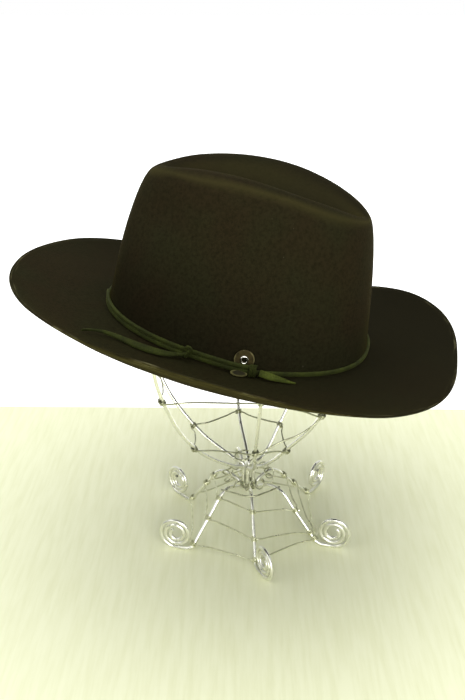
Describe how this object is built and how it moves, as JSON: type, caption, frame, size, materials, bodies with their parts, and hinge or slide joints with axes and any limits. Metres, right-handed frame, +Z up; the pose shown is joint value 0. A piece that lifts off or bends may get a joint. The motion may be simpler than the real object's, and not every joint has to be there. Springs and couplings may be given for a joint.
{
  "type": "wool felt hat on a wire stand",
  "caption": "Wide-brimmed wool felt hat with a creased crown and a knotted suede lace, resting on an open wire hat stand with spiral feet.",
  "frame": {"origin": "on the floor, under the middle of the box round hat and stand", "axes": "+Z up; the hat's front points along -Y and the wearer's left side along +X, turned about 11 degrees on the stand"},
  "size_m": [0.3388, 0.3544, 0.3123],
  "materials": {
    "felt": "soft matt wool felt, dark olive brown",
    "suede": "matt suede, olive green",
    "disc": "matt brown leather",
    "eyelet": "bright metal",
    "wire": "bright silver wire"
  },
  "bodies": {
    "root": {"felt_body": "felt", "lace_band": "suede", "lace_second_round": "suede", "lace_end_front": "suede", "lace_end_back": "suede", "lace_knot": "suede", "lace_binding": "suede", "rosette_disc": "disc", "rosette_eyelet": "eyelet", "stand_post": "wire", "stand_leg_1": "wire", "stand_leg_2": "wire", "stand_leg_3": "wire", "stand_leg_4": "wire", "stand_leg_5": "wire", "stand_leg_6": "wire", "stand_rib_1": "wire", "stand_rib_2": "wire", "stand_rib_3": "wire", "stand_rib_4": "wire", "stand_rib_5": "wire", "stand_rib_6": "wire", "stand_web_foot": "wire", "stand_web_leg_low": "wire", "stand_web_leg_high": "wire", "stand_web_bowl_low": "wire", "stand_web_bowl_high": "wire", "stand_web_rim": "wire"}
  },
  "joints": []
}
